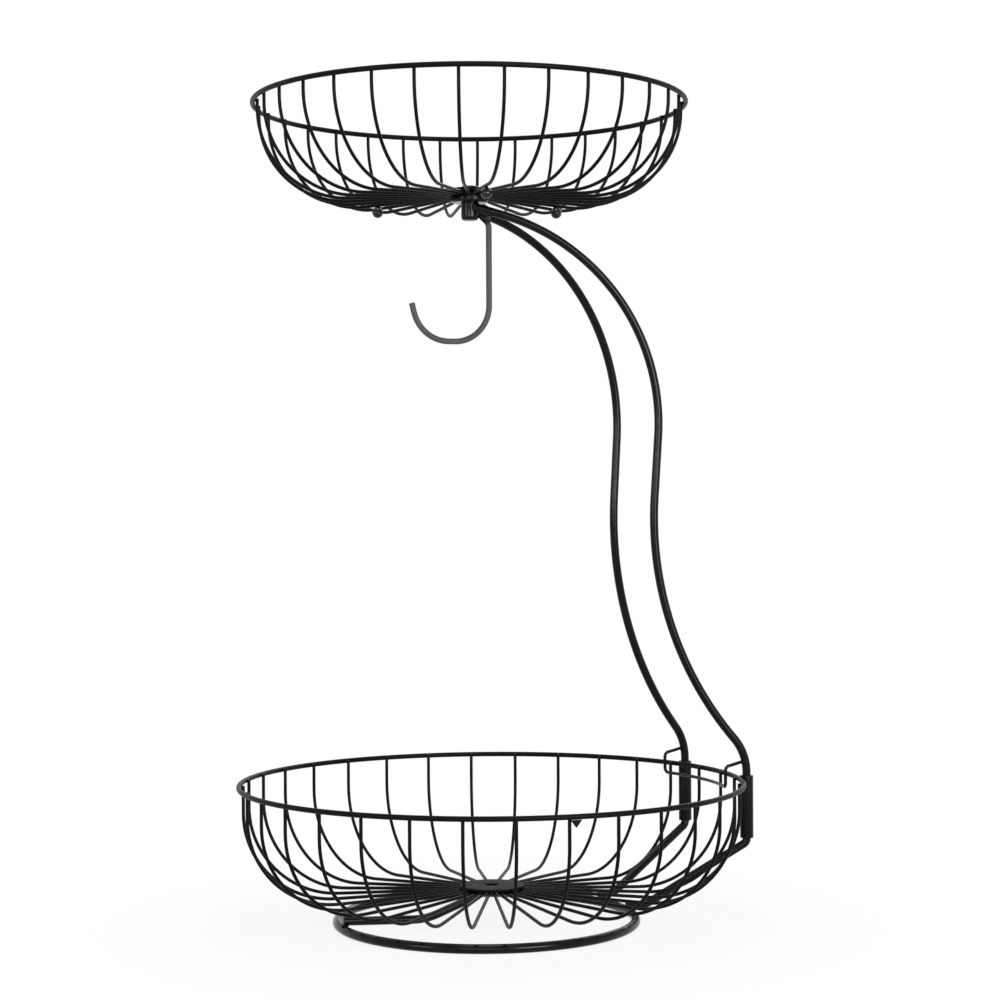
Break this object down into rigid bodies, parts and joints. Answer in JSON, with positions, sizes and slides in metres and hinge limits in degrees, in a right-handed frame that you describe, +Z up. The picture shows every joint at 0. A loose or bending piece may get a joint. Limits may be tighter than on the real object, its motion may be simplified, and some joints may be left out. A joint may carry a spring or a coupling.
{
  "type": "two-tier wire fruit basket with a banana hook",
  "caption": "Black wire stand with a large lower fruit basket on a ring foot, a smaller upper basket on two curved arms, and a hook for bananas between them.",
  "frame": {"origin": "on the table, on the axis of the lower basket", "axes": "+Z up; +X from the basket's centre towards the two arms, in the plane of symmetry of the stand; +Y towards the arm that is farther away in the picture"},
  "size_m": [0.3027, 0.3, 0.4845],
  "materials": {
    "powder_black": "satin powder coat",
    "powder_grey": "semi-gloss powder coat"
  },
  "bodies": {
    "root": {"foot_ring": "powder_black", "leg_rear": "powder_black", "leg_front": "powder_black", "base_stay": "powder_black", "sleeve_rear": "powder_black", "sleeve_front": "powder_black", "lower_rim": "powder_black", "lower_wires_1": "powder_black", "lower_wires_2": "powder_black", "lower_wires_3": "powder_black", "lower_wires_4": "powder_black", "lower_hub": "powder_black", "rim_tab": "powder_black", "rim_clip": "powder_black", "arm_rear": "powder_black", "arm_front": "powder_black", "collar": "powder_black", "banana_hook": "powder_grey", "hub_screw": "powder_black", "upper_hub": "powder_black", "upper_rim": "powder_black", "upper_wires_1": "powder_black", "upper_wires_2": "powder_black", "upper_wires_3": "powder_black", "upper_wires_4": "powder_black", "ball_foot_1": "powder_black", "ball_foot_2": "powder_black", "ball_foot_3": "powder_black"}
  },
  "joints": []
}
